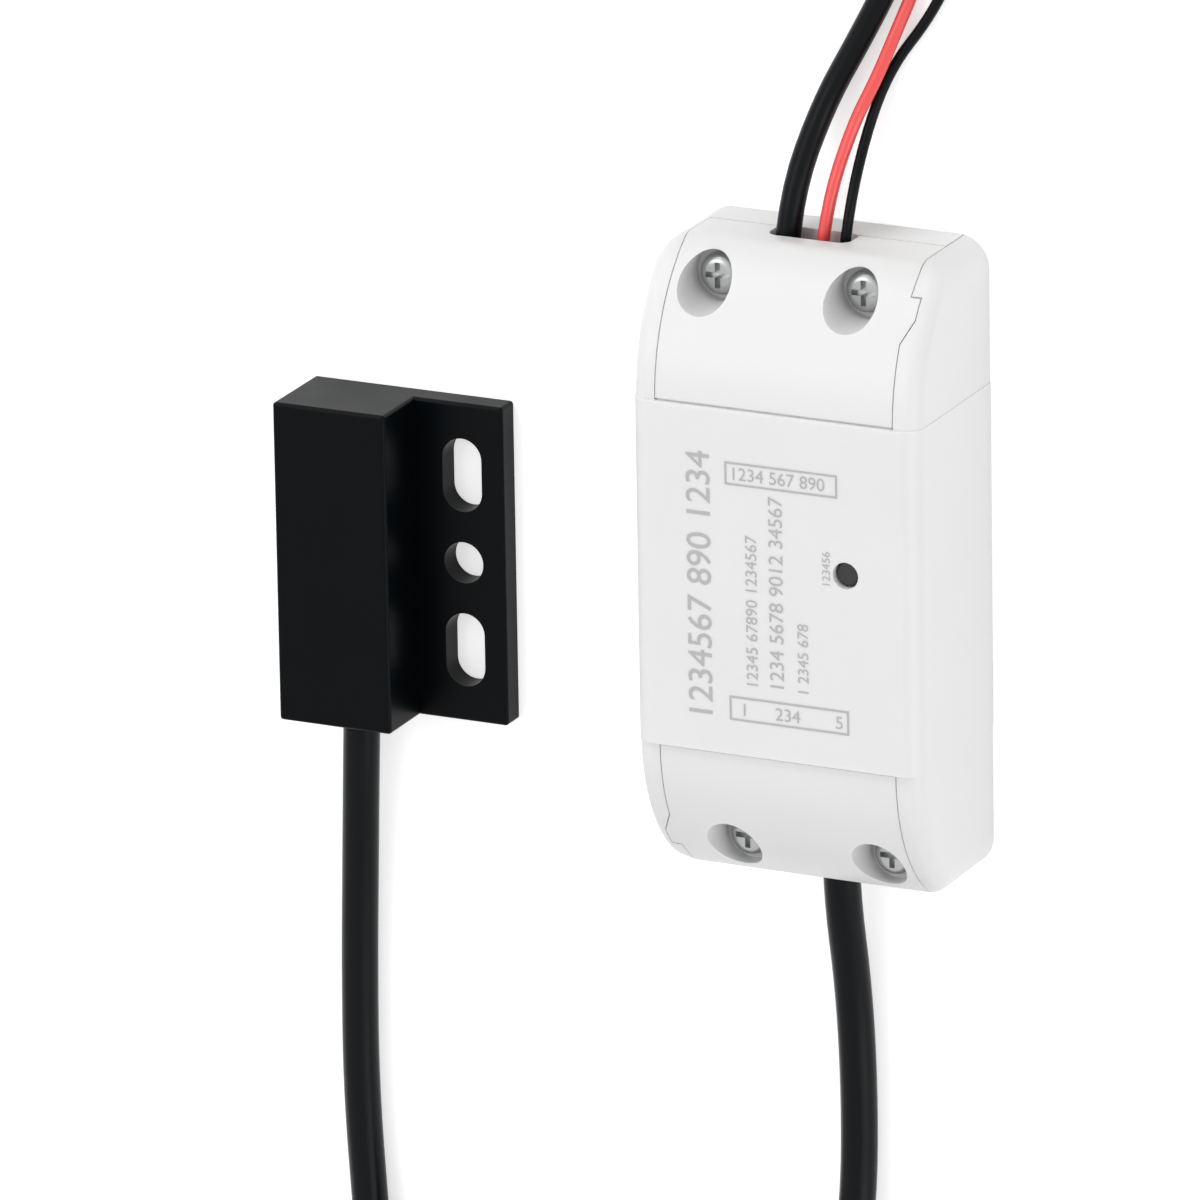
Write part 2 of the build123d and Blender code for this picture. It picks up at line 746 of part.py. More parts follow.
regulator_length = 6.5
regulator_width = 3.5
regulator_height = 1.6
regulator_y = -5.0
driver_x = case_x + 3.5
driver_length = 2.9
driver_width = 1.3
driver_height = 0.8
with BuildPart() as driver_parts:
    with BuildSketch(Plane.XY.offset(board_top)):
        with Locations((case_x + button_x, regulator_y)):
            Rectangle(regulator_length, regulator_width)
    extrude(amount=regulator_height)
    with BuildSketch(Plane.XY.offset(board_top)):
        with Locations((driver_x, capacitor_y)):
            with GridLocations(0, driver_length + driver_width, 1, 2):
                Rectangle(driver_length, driver_width)
    extrude(amount=driver_height)
save(driver_parts.part, "driver_parts")

light_y = -22.0
light_radius = 1.5
light_height = 3.0
with BuildPart() as status_light:
    with Locations((capacitor_x, light_y, board_top)):
        Cylinder(light_radius, light_height, align=(Align.CENTER, Align.CENTER, Align.MIN))
    fillet(status_light.edges().group_by(Axis.Z)[-1], light_radius - rib / 4)
save(status_light.part, "status_light")

# Rubber bushes between the screw posts, which grip the leads, and the fixed tails behind them
bush_length = 3.0
bush_y = end_y - case_wall - lead_start - bush_length / 2
bush_width = screw_across - 2 * post_radius - 2 * fit_gap
bush_top = screw_seat - seat_thickness - fit_gap
tail_start = end_y - lead_start
tail_stop = terminal_end + screw_gap
leads = (
    ("power_lead_tail", power_lead_x, power_lead_diameter),
    ("red_wire_tail", red_wire_x, red_wire_diameter),
    ("black_wire_tail", black_wire_x, black_wire_diameter),
)
with BuildPart() as upper_bush:
    with BuildSketch(Plane.XY.offset(base_floor)):
        with Locations((case_x - screw_shift, bush_y)):
            Rectangle(bush_width, bush_length)
    extrude(amount=bush_top - base_floor)
    for name, x, diameter in leads:
        with Locations(Location((case_x + x, bush_y, lead_height), (90, 0, 0))):
            Cylinder(diameter / 2 + screw_gap, 2 * bush_length, mode=Mode.SUBTRACT)
save(upper_bush.part, "upper_bush")

with BuildPart() as lower_bush:
    with BuildSketch(Plane.XY.offset(base_floor)):
        with Locations((case_x + screw_shift, -bush_y)):
            Rectangle(bush_width, bush_length)
    extrude(amount=bush_top - base_floor)
    with Locations(Location((case_x + sensor_cable_x, -bush_y, split_height), (90, 0, 0))):
        Cylinder(sensor_cable_diameter / 2 + screw_gap, 2 * bush_length, mode=Mode.SUBTRACT)
save(lower_bush.part, "lower_bush")

for name, x, diameter in leads:
    with BuildPart() as tail:
        with BuildSketch(Plane.XZ.offset(-tail_start)):
            with Locations((case_x + x, lead_height)):
                Circle(diameter / 2)
        extrude(amount=tail_start - tail_stop)
    save(tail.part, name)

jacket_stop = bush_y - bush_length / 2
core_pitch = core_diameter + 2 * fit_gap
core_height = split_height + core_diameter
with BuildPart() as sensor_cable_tail:
    with BuildSketch(Plane.XZ.offset(jacket_stop)):
        with Locations((case_x + sensor_cable_x, split_height)):
            Circle(sensor_cable_diameter / 2)
    extrude(amount=tail_start - jacket_stop)
    with BuildSketch(Plane.XZ.offset(jacket_stop)):
        with Locations((case_x + sensor_cable_x, core_height)):
            with GridLocations(core_pitch, 0, 2, 1):
                Circle(core_diameter / 2)
    extrude(amount=tail_stop - jacket_stop)
save(sensor_cable_tail.part, "sensor_cable_tail")

# Sensor: block and slotted flange in one moulding, closed from behind by a plate
pocket_width = sensor_block_width - 2 * sensor_wall
pocket_length = sensor_length - 2 * sensor_end_wall
sensor_low = sensor_y - sensor_length / 2
with BuildPart() as sensor_housing:
    with BuildSketch(Plane.XZ.offset(-sensor_y - sensor_length / 2)):
        with BuildLine():
            Polyline(
                (sensor_left, 0),
                (sensor_left + sensor_width, 0),
                (sensor_left + sensor_width, flange_height),
                (block_right, flange_height),
                (block_right, sensor_height),
                (sensor_left, sensor_height),
                close=True,
            )
        make_face()
    extrude(amount=sensor_length)
    inner_edges = sensor_housing.edges().filter_by(
        lambda e: abs(e.center().X - block_right) < 0.01 and abs(e.center().Z - flange_height) < 0.01
    )
    low_edges = sensor_housing.edges().group_by(Axis.Z)[0]
    fillet(sensor_housing.edges() - inner_edges - low_edges, sensor_edge)
    with BuildSketch(Plane.XY):
        with Locations((block_x, sensor_y)):
            Rectangle(pocket_width + sensor_wall, pocket_length + sensor_wall)
    extrude(amount=sensor_plate + screw_gap, mode=Mode.SUBTRACT)
    with BuildSketch(Plane.XY):
        with Locations((block_x, sensor_y)):
            Rectangle(pocket_width, pocket_length)
    extrude(amount=sensor_height - sensor_wall, mode=Mode.SUBTRACT)
    with BuildSketch(Plane.XY):
        with Locations((hole_x, sensor_y)):
            Circle(mount_hole_radius)
            with GridLocations(0, 2 * mount_pitch, 1, 2):
                SlotOverall(mount_slot_length, 2 * mount_hole_radius, rotation=90)
    extrude(amount=flange_height, mode=Mode.SUBTRACT)
    with BuildSketch(Plane.XZ.offset(-sensor_low - sensor_end_wall - 1)):
        with Locations((block_x, sensor_cable_height)):
            Circle(sensor_cable_diameter / 2 + cable_clearance)
    extrude(amount=sensor_end_wall + 2, mode=Mode.SUBTRACT)
save(sensor_housing.part, "sensor_housing")

# Back plate with two posts that carry the reed's board
reed_board_width = 10.0
reed_board_length = 27.0
reed_board_thickness = 1.0
reed_board_height = 5.8
reed_post = 3.0
board_middle = sensor_y + rib
with BuildPart() as sensor_back_plate:
    with BuildSketch(Plane.XY):
        with Locations((block_x, sensor_y)):
            slack = sensor_wall - 2 * fit_gap
            Rectangle(pocket_width + slack, pocket_length + slack)
    extrude(amount=sensor_plate)
    with BuildSketch(Plane.XY.offset(sensor_plate)):
        with Locations((block_x, board_middle)):
            with GridLocations(0, reed_board_length - reed_post, 1, 2):
                Rectangle(reed_board_width, reed_post)
    extrude(amount=reed_board_height - sensor_plate)
save(sensor_back_plate.part, "sensor_back_plate")

with BuildPart() as reed_board:
    with BuildSketch(Plane.XY.offset(reed_board_height)):
        with Locations((block_x, board_middle)):
            Rectangle(reed_board_width, reed_board_length)
    extrude(amount=reed_board_thickness)
save(reed_board.part, "reed_board")

# Reed switch: a glass tube with closed ends and two blades that face each other in its middle
reed_floor = reed_board_height + reed_board_thickness
reed_height = reed_floor + reed_radius + screw_gap
reed_cap = 1.6
reed_wall = 0.35
blade_lap = 1.0
blade_space = 0.2
blade_sheet = 0.2
blade_side = 1.2
with BuildPart() as reed_tube:
    with BuildSketch(Plane.XZ.offset(-board_middle - reed_length / 2)):
        with Locations((block_x, reed_height)):
            Circle(reed_radius)
    extrude(amount=reed_length)
    with BuildSketch(Plane.XZ.offset(-board_middle - reed_length / 2 + reed_cap)):
        with Locations((block_x, reed_height)):
            Circle(reed_radius - reed_wall)
    extrude(amount=reed_length - 2 * reed_cap, mode=Mode.SUBTRACT)
    with BuildSketch(Plane.XZ.offset(-board_middle - reed_length)):
        with Locations((block_x, reed_height)):
            Circle(reed_wire_radius + screw_gap)
    extrude(amount=2 * reed_length, mode=Mode.SUBTRACT)
save(reed_tube.part, "reed_tube")

wire_reach = 3.0
with BuildPart() as reed_blades:
    for end in (-1, 1):
        tip = board_middle - end * blade_lap / 2
        root = board_middle + end * (reed_length / 2 - reed_cap)
        bend = board_middle + end * (reed_length / 2 + wire_reach)
        shift = end * (blade_space + blade_sheet) / 2
        with Locations((block_x, (tip + root) / 2, reed_height + shift)):
            Box(blade_side, abs(root - tip), blade_sheet)
        with Locations(Location((block_x, (root + bend - end * rib) / 2, reed_height), (90, 0, 0))):
            Cylinder(reed_wire_radius, abs(bend - root) + rib)
        with Locations((block_x, bend, reed_floor)):
            Cylinder(
                reed_wire_radius,
                reed_height - reed_floor + reed_wire_radius,
                align=(Align.CENTER, Align.CENTER, Align.MIN),
            )
save(reed_blades.part, "reed_blades")

core_end = board_middle - reed_board_length / 2 - screw_gap
core_from = sensor_low + sensor_end_wall
with BuildPart() as sensor_cores:
    for hand in (-1, 1):
        x = block_x + hand * core_pitch
        with BuildSketch(Plane.XZ.offset(-core_end)):
            with Locations((x, sensor_cable_height)):
                Circle(core_diameter / 2)
        extrude(amount=core_end - core_from - screw_gap)
save(sensor_cores.part, "sensor_cores")

# Free leads: routes chosen by hand, straight runs joined by large tangent arcs
bend_share = 0.45


def bend_radii(points):
    """One radius per corner: a share of the shorter run, over the tangent of half the turn."""
    radii = []
    for before, corner, after in zip(points, points[1:], points[2:]):
        run_in = Vector(*corner) - Vector(*before)
        run_out = Vector(*after) - Vector(*corner)
        half_turn = math.radians(run_in.get_angle(run_out)) / 2
        radii.append(bend_share * min(run_in.length, run_out.length) / math.tan(half_turn))
    return radii


def lead_tube(name, points, diameter):
    """A round lead along its route, cut square at both ends."""
    radii = bend_radii(points)
    start = Vector(*points[0])
    with BuildPart() as tube:
        with BuildLine() as route:
            FilletPolyline(*points, radius=radii)
        with BuildSketch(Plane(origin=start, z_dir=Vector(*points[1]) - start)):
            Circle(diameter / 2)
        sweep()
    length = sum(edge.length for edge in route.edges())
    section = math.pi * diameter**2 / 4
    print(name, "length", round(length, 1), "least bend in diameters", round(min(radii) / diameter, 1))
    print(name, "volume over section times length", round(tube.part.volume / (section * length), 4))
    save(tube.part, name)
    return length


def coil_low(diameter):
    """Height of a coil's lower layer, which lies on the foot of its tie."""
    return tie_thickness + tie_clearance + diameter / 2


def coil_high(diameter):
    """Height of a coil's upper layer."""
    return coil_low(diameter) + diameter + coil_gap


power_route = [
    (case_x + power_lead_x, tail_start, lead_height),
    (case_x + power_lead_x, 51.0, lead_height),
    (26.7, 62.5, 2.4),
    (31.8, 72.0, 1.8),
    (37.6, 80.5, 1.75),
    (40.7, 88.5, 1.8),
    (40.2, 96.5, coil_low(power_lead_diameter)),
    (40.2, 103.5, coil_low(power_lead_diameter)),
]
red_route = [
    (case_x + red_wire_x, tail_start, lead_height),
    (case_x + red_wire_x, 50.0, lead_height),
    (32.4, 61.0, 2.5),
    (35.4, 69.0, 1.0),
    (39.6, 76.5, 0.9),
    (43.4, 84.5, 0.92),
    (44.9, 94.0, 0.9),
    (44.9, 105.0, 1.0),
    (44.7, 115.0, coil_low(red_wire_diameter)),
    (44.7, 125.2, coil_low(red_wire_diameter)),
]
black_route = [
    (case_x + black_wire_x, tail_start, lead_height),
    (case_x + black_wire_x, 50.0, lead_height),
    (34.9, 61.0, 2.2),
    (37.6, 69.2, 0.85),
    (42.0, 76.0, 0.75),
    (46.2, 82.5, 0.8),
    (47.8, 89.5, coil_low(black_wire_diameter)),
    (47.8, 95.5, coil_low(black_wire_diameter)),
]
controller_route = [
    (case_x + sensor_cable_x, -tail_start, split_height),
    (case_x + sensor_cable_x, -50.0, split_height),
    (31.4, -65.0, 2.8),
    (32.0, -80.0, 2.6),
    (31.8, -96.0, 2.65),
    (31.1, -112.0, 6.2),
    (30.95, -125.0, coil_high(sensor_cable_diameter)),
    (30.95, -135.8, coil_high(sensor_cable_diameter)),
]
sensor_route = [
    (block_x, core_from, sensor_cable_height),
    (block_x, -40.0, sensor_cable_height),
    (-43.5, -56.0, 3.0),
    (-43.95, -72.0, 2.6),
    (-44.1, -90.0, 2.62),
    (-43.6, -108.0, 2.8),
    (-42.85, -124.0, coil_low(sensor_cable_diameter)),
    (-42.85, -135.8, coil_low(sensor_cable_diameter)),
]
plug_height = 8.0
plug_run = [
    (10.2, 131.45, coil_high(power_lead_diameter)),
    (4.2, 131.45, coil_high(power_lead_diameter)),
    (-4.6, 131.6, plug_height / 2),
    (-10.4, 131.6, plug_height / 2),
]
red_end = [
    (67.5, 125.2, coil_high(red_wire_diameter)),
    (67.5, 121.6, coil_high(red_wire_diameter)),
    (67.4, 115.4, 1.0),
    (67.3, 111.0, 0.95),
]
black_end = [
    (48.85, 98.5, coil_high(black_wire_diameter)),
    (48.85, 101.7, coil_high(black_wire_diameter)),
    (48.9, 107.4, 0.85),
    (48.9, 111.0, 0.8),
]
lead_tube("power_lead", power_route, power_lead_diameter)
lead_tube("power_lead_to_plug", plug_run, power_lead_diameter)
lead_tube("red_wire_end", red_end, red_wire_diameter)
lead_tube("black_wire_end", black_end, black_wire_diameter)
lead_tube("red_wire", red_route, red_wire_diameter)
lead_tube("black_wire", black_route, black_wire_diameter)
lead_tube("sensor_cable_at_controller", controller_route, sensor_cable_diameter)
lead_tube("sensor_cable_at_sensor", sensor_route, sensor_cable_diameter)


def coil_stations(outer, pitch, lower_halves, upper_halves, tuck):
    """How far from its middle a coil crosses its start line, once per half turn: in, climb, out."""
    spiral_in = [outer - pitch / 2 * n for n in range(lower_halves + 1)]
    inner = spiral_in[-1]
    spiral_out = [inner - tuck] + [inner + pitch / 2 * n for n in range(1, upper_halves + 1)]
    return spiral_in + spiral_out


climb_share = 0.42  # the climb to the upper layer draws in by this share of the pitch
steps = 48  # samples in each half turn, for the print of the gaps
tie_least = 2.0


def wound_coil(name, middle, diameter, outer, halves, side, spin, quarter=False, tie_side=1):
    """Two layers of loops in one unbroken tube, both ends straight for one diameter, and its tie.

    side is +1 where the lead comes in on the right, spin is +1 for a coil that runs anticlockwise."""
    pitch = diameter + coil_gap
    lower_halves, upper_halves = halves
    stations = coil_stations(outer, pitch, lower_halves, upper_halves, pitch * climb_share)
    low = coil_low(diameter)
    heights = [low] * (lower_halves + 1) + [low + pitch] * (upper_halves + 1)
    hands = [side * (-1) ** n for n in range(len(stations))]
    corners = [
        Vector(middle[0] + hand * reach, middle[1], height)
        for hand, reach, height in zip(hands, stations, heights)
    ]
    samples = []
    crossings = []
    with BuildPart() as coil:
        with BuildLine() as path:
            heading = Vector(0, spin * side, 0)
            Line(corners[0] - heading * diameter, corners[0])
            for hand, first, last in zip(hands, corners, corners[1:]):
                heading = Vector(0, spin * hand, 0)
                radius = (last - first).length / 2
                centre = (first + last) / 2
                ThreePointArc(first, centre + heading * radius, last)
                crossings.append((spin * hand, radius))
                for step in range(steps):
                    angle = math.pi * step / steps
                    sideways = (first - centre) * math.cos(angle)
                    samples.append(centre + sideways + heading * radius * math.sin(angle))
            heading = Vector(0, spin * hands[-1], 0)
            finish = corners[-1]
            if quarter:
                radius = stations[-1]
                centre = finish - Vector(hands[-1] * radius, 0, 0)
                finish = centre + heading * radius
                slant = math.sqrt(0.5) * radius
                halfway = centre + Vector(hands[-1] * slant, heading.Y * slant, 0)
                ThreePointArc(corners[-1], halfway, finish)
                heading = Vector(-hands[-1], 0, 0)
            end = finish + heading * diameter
            Line(finish, end)
        start = corners[0] - Vector(0, spin * side, 0) * diameter
        with BuildSketch(Plane(origin=start, z_dir=Vector(0, spin * side, 0))):
            Circle(diameter / 2)
        sweep()
    least = min(
        (samples[i] - samples[j]).length
        for i in range(len(samples))
        for j in range(i + steps, len(samples))
    )
    length = sum(edge.length for edge in path.edges())
    print(name, "turns", (len(stations) - 1) / 2 + (0.25 if quarter else 0), "length", round(length, 1))
    print(name, "least gap to itself", round(least - diameter, 2), "least radius", round(min(stations), 1))
    print(name, "start", tuple(start), "end", tuple(end))
    save(coil.part, name)
    reaches = [radius for way, radius in crossings if way == tie_side]
    inside = min(reaches) - diameter / 2 - tie_clearance
    outside = max(reaches) + diameter / 2 + tie_clearance
    top = low + pitch + diameter / 2 + tie_clearance
    return {
        "x": middle[0],
        "y": middle[1] + tie_side * (inside + outside) / 2,
        "width": outside - inside,
        "height": top - tie_thickness,
        "length": max(diameter / 2, tie_least),
        "corner": diameter / 2,
    }


ties = [
    wound_coil(
        "sensor_cable_coil", (-5.95, -141.0), sensor_cable_diameter, 36.9, (6, 6), -1, 1, tie_side=-1
    ),
    wound_coil(
        "power_lead_coil",
        (13.7, 107.0),
        power_lead_diameter,
        26.5,
        (6, 5),
        1,
        1,
        quarter=True,
        tie_side=-1,
    ),
    wound_coil("red_wire_coil", (56.1, 127.0), red_wire_diameter, 11.4, (3, 3), -1, -1),
    wound_coil("black_wire_coil", (58.4, 97.0), black_wire_diameter, 10.6, (4, 3), -1, -1),
]
with BuildPart() as coil_ties:
    for tie in ties:
        with BuildSketch(Plane.YZ.offset(tie["x"] - tie["length"] / 2)):
            with Locations((tie["y"], tie_thickness + tie["height"] / 2)):
                RectangleRounded(
                    tie["width"] + 2 * tie_thickness,
                    tie["height"] + 2 * tie_thickness,
                    tie["corner"] + tie_thickness,
                )
                RectangleRounded(tie["width"], tie["height"], tie["corner"], mode=Mode.SUBTRACT)
        extrude(amount=tie["length"])
save(coil_ties.part, "coil_ties")

# Low voltage plug on the power lead: moulded body with a tapered relief, metal shell, tongue, contacts
plug_width = 15.8
plug_length = 23.0
plug_round = 1.6
relief_length = 10.0
relief_radius = 3.2
shell_width = 12.0
shell_height = 4.5
shell_length = 11.8
shell_wall = 0.35
shell_window = 2.4
tongue_thickness = 1.9
contact_count = 4
contact_pitch = 2.2
plug_start = Vector(*plug_run[-1])
body_x = plug_start.X - relief_length
shell_x = body_x - plug_length
with BuildPart() as plug_body:
    with BuildSketch(Plane.YZ.offset(shell_x)):
        with Locations((plug_start.Y, plug_start.Z)):
            RectangleRounded(plug_width, plug_height, 2 * plug_round)
    extrude(amount=plug_length)
    ends = plug_body.edges().filter_by(lambda e: e.bounding_box().size.X < 0.01)
    fillet(ends, plug_round / 2)
    with BuildSketch(Plane.YZ.offset(body_x - plug_round)):
        with Locations((plug_start.Y, plug_start.Z)):
            Circle(relief_radius)
    with BuildSketch(Plane.YZ.offset(plug_start.X)):
        with Locations((plug_start.Y, plug_start.Z)):
            Circle(power_lead_diameter / 2 + rib / 2)
    loft()
save(plug_body.part, "plug_body")

with BuildPart() as plug_shell:
    with BuildSketch(Plane.YZ.offset(shell_x - shell_length)):
        with Locations((plug_start.Y, plug_start.Z)):
            RectangleRounded(shell_width, shell_height, shell_wall * 2)
            Rectangle(shell_width - 2 * shell_wall, shell_height - 2 * shell_wall, mode=Mode.SUBTRACT)
    extrude(amount=shell_length)
    with Locations((shell_x - shell_length / 2, plug_start.Y, plug_start.Z)):
        with GridLocations(0, shell_width / 2, 1, 2):
            Box(shell_window, shell_window, 2 * shell_height, mode=Mode.SUBTRACT)
save(plug_shell.part, "plug_shell")

tongue_top = plug_start.Z + shell_height / 2 - shell_wall - screw_gap
with BuildPart() as plug_tongue:
    with BuildSketch(Plane.XY.offset(tongue_top)):
        with Locations((shell_x, plug_start.Y)):
            Rectangle(
                shell_length - rib / 2,
                shell_width - 2 * shell_wall - 2 * screw_gap,
                align=(Align.MAX, Align.CENTER),
            )
    extrude(amount=-tongue_thickness)
save(plug_tongue.part, "plug_tongue")

with BuildPart() as plug_contacts:
    with BuildSketch(Plane.XY.offset(tongue_top - tongue_thickness)):
        with Locations((shell_x - shell_length / 2, plug_start.Y)):
            with GridLocations(0, contact_pitch, 1, contact_count):
                Rectangle(shell_length - 3 * rib, rib)
    extrude(amount=-blade_sheet)
save(plug_contacts.part, "plug_contacts")

# Bare tinned ends of the two output wires
tip_length = 4.6
tip_share = 0.64  # of the wire's diameter
with BuildPart() as bare_wire_tips:
    for route, diameter in ((red_end, red_wire_diameter), (black_end, black_wire_diameter)):
        way = (Vector(*route[-1]) - Vector(*route[-2])).normalized()
        with BuildSketch(Plane(origin=Vector(*route[-1]), z_dir=way)):
            Circle(tip_share * diameter / 2)
        extrude(amount=tip_length)
save(bare_wire_tips.part, "bare_wire_tips")
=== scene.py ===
# %% [markdown]
# # Wired gate controller with its position sensor
#
# The real thing is a flat white box that switches a gate's motor, with leads at both ends, and a black
# reed sensor on one of them. The imported CAD model has all their solid parts, and this script dresses
# them: it lays smooth leads where the CAD has plain tubes, closes two seams, puts a welded copy in place
# of the switch dome, gives every part its finish, prints plain numerals on the front, and sets up a
# table, soft light and the camera.
#
# Lengths are metres. +X runs from the sensor to the box, +Y to the end with three leads, and +Z out of
# the front. Both parts lie on their backs, and the camera looks down at them.

import json
import math

import bmesh
import bpy
from mathutils import Matrix, Vector


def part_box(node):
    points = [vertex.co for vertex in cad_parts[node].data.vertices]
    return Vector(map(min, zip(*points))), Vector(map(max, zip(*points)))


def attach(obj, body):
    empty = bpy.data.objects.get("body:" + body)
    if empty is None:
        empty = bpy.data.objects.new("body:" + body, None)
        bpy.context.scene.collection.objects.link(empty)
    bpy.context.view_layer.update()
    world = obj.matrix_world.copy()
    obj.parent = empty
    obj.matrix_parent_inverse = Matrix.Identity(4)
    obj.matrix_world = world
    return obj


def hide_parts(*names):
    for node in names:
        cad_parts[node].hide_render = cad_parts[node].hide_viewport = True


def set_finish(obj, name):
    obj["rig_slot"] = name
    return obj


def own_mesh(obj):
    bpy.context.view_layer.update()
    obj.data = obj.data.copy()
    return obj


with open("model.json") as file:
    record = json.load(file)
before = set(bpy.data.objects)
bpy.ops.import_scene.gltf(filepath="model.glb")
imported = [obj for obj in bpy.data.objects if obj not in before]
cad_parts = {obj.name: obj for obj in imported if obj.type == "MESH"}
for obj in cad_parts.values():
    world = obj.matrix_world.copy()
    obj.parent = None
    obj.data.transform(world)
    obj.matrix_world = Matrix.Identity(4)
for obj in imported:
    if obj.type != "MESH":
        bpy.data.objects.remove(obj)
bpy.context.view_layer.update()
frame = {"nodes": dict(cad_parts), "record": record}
nodes = frame["nodes"]
scene = bpy.context.scene
print("CAD nodes:", len(nodes))

# %% [markdown]
# ## Camera
#
# A camera can be placed by eye, or worked out from points that are known in the part and can be seen in
# the picture. Here the corners, screws and holes gave the direction, scale and slight roll. The camera
# stands well back with a long lens, because the photograph shows almost no perspective.

# %% Camera
picture_size = 1200
yaw = math.radians(25.56)
pitch = math.radians(18.41)
roll = math.radians(-0.97)
distance = 2.0
pixels_per_metre = 7303.0
aim = Vector((0.00443, -0.00457, 0.02599))

back = Vector((math.sin(yaw) * math.cos(pitch), math.sin(pitch), math.cos(yaw) * math.cos(pitch)))
level = Vector((math.cos(yaw), 0.0, -math.sin(yaw)))
upright = back.cross(level)
right = level * math.cos(roll) + upright * math.sin(roll)
above = upright * math.cos(roll) - level * math.sin(roll)

camera_data = bpy.data.cameras.new("camera")
camera_data.sensor_width = 36.0
camera_data.lens = camera_data.sensor_width * pixels_per_metre * distance / picture_size
camera_data.clip_end = 20.0
camera = bpy.data.objects.new("camera", camera_data)
facing = Matrix((right, above, back)).transposed().to_4x4()
camera.matrix_world = Matrix.Translation(aim + back * distance) @ facing
scene.collection.objects.link(camera)
scene.camera = camera
print("Lens of the camera:", round(camera_data.lens), "mm")

# %% [markdown]
# ## Leads
#
# A lead is round and bends smoothly. A mesh tube would show its joints, so each lead is one NURBS curve
# with a round bevel. Its open stretches are short lists of points that pull the curve like weights on a
# string. The turns of its put-away coil are too many to list, so a loop works them out: half turn by half
# turn in on the lower layer, one climb, and out again on the upper layer.

# %% Diameters and the coil's spacing
power_diameter = 0.0035
red_diameter = 0.0018
black_diameter = 0.0015
cable_diameter = 0.0052
coil_gap = 0.0006
tie_foot = 0.00095  # foot of the tie and its clearance, under the lower layer
climb_share = 0.42  # of one spacing, by which the turn that climbs stays smaller
points_per_half = 12
point_radius = 0.0005  # of a curve's point; Blender adds it to the curve's bounding box


# %% Control points of an arc
def arc_points(centre, start, across, count):
    """Points round a centre, from the arm called start towards the arm called across."""
    step = math.pi / points_per_half
    spread = 1 / math.cos(step / 2)
    angles = [step * (k + 0.5) for k in range(count)]
    return [centre + (start * math.cos(angle) + across * math.sin(angle)) * spread for angle in angles]


# %% Control points of a coil
def coil_points(middle, diameter, outer, halves, side, spin, quarter=False):
    """Points of a two-layer coil from its start line to its end, a quarter turn longer if asked."""
    spacing = diameter + coil_gap
    lower, upper = halves
    reaches = [outer - spacing / 2 * n for n in range(lower + 1)]
    inner = reaches[-1]
    reaches.append(inner - spacing * climb_share)
    reaches += [inner + spacing / 2 * n for n in range(1, upper + 1)]
    low = tie_foot + diameter / 2
    corners = []
    for n, reach in enumerate(reaches):
        hand = side * (-1) ** n
        height = low if n <= lower else low + spacing
        corners.append(Vector((middle[0] + hand * reach, middle[1], height)))
    points = []
    for n, (first, last) in enumerate(zip(corners, corners[1:])):
        centre = (first + last) / 2
        across = Vector((0, spin * side * (-1) ** n, 0)) * (first - last).length / 2
        points += arc_points(centre, first - centre, across, points_per_half)
    if quarter:
        reach = side * (-1) ** (len(corners) - 1) * reaches[-1]
        out = Vector((reach, 0, 0))
        points += arc_points(corners[-1] - out, out, Vector((0, spin * reach, 0)), points_per_half // 2)
    return points


# %% One lead as a curve
def lead(name, points, diameter, slot, replaced):
    """One round lead along its control points, which stands for its CAD tubes."""
    curve = bpy.data.curves.new(name, "CURVE")
    curve.dimensions = "3D"
    curve.bevel_depth = diameter / 2 / point_radius
    curve.bevel_resolution = 6
    curve.resolution_u = 5
    curve.use_fill_caps = True
    spline = curve.splines.new("NURBS")
    spline.points.add(len(points) - 1)
    for control, point in zip(spline.points, points):
        control.co = (*point, 1.0)
        control.radius = point_radius
    spline.order_u = 3
    spline.use_endpoint_u = True
    piece = bpy.data.objects.new(name, curve)
    scene.collection.objects.link(piece)
    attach(piece, "controller")
    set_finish(piece, slot)
    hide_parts(*replaced)
    print(name, "has", len(points), "points and is", round(spline.calc_length(), 4), "m long")
    return piece


# %% [markdown]
# ## Sensor cable
#
# One cable joins the sensor to the box. In the photograph both its ends run straight down out of the
# picture, so its slack is put away below, in a coil with a tie. The first and last points lie inside the
# sensor and the box, on the line of the hole that the cable comes out of.

# %% Sensor cable
sensor_stretch = [
    (-0.0430, -0.0293, 0.0044),
    (-0.0434, -0.0400, 0.0044),
    (-0.0446, -0.0560, 0.0030),
    (-0.0453, -0.0720, 0.0026),
    (-0.0455, -0.0900, 0.00262),
    (-0.0444, -0.1080, 0.0028),
    (-0.04285, -0.1240, 0.00355),
    (-0.04285, -0.1358, 0.00355),
]
controller_stretch = [
    (0.03115, -0.0425, 0.0060),
    (0.03115, -0.0500, 0.0060),
    (0.0314, -0.0650, 0.0028),
    (0.0320, -0.0800, 0.0026),
    (0.0318, -0.0960, 0.00265),
    (0.0311, -0.1120, 0.0062),
    (0.03095, -0.1250, 0.00935),
    (0.03095, -0.1358, 0.00935),
]
sensor_turns = coil_points((-0.00595, -0.1410), cable_diameter, 0.0369, (6, 6), -1, 1)
sensor_cable = lead(
    "sensor_cable_line",
    sensor_stretch + sensor_turns + controller_stretch[::-1],
    cable_diameter,
    "black_jacket",
    ["sensor_cable_at_sensor", "sensor_cable_coil", "sensor_cable_at_controller"],
)

# %% [markdown]
# ## Power lead
#
# The thick lead at the top brings low voltage from a USB plug. It leaves the slot, drops to the table
# while it leans to the right, as in the photograph, and ends in a flat coil with its plug beside it.

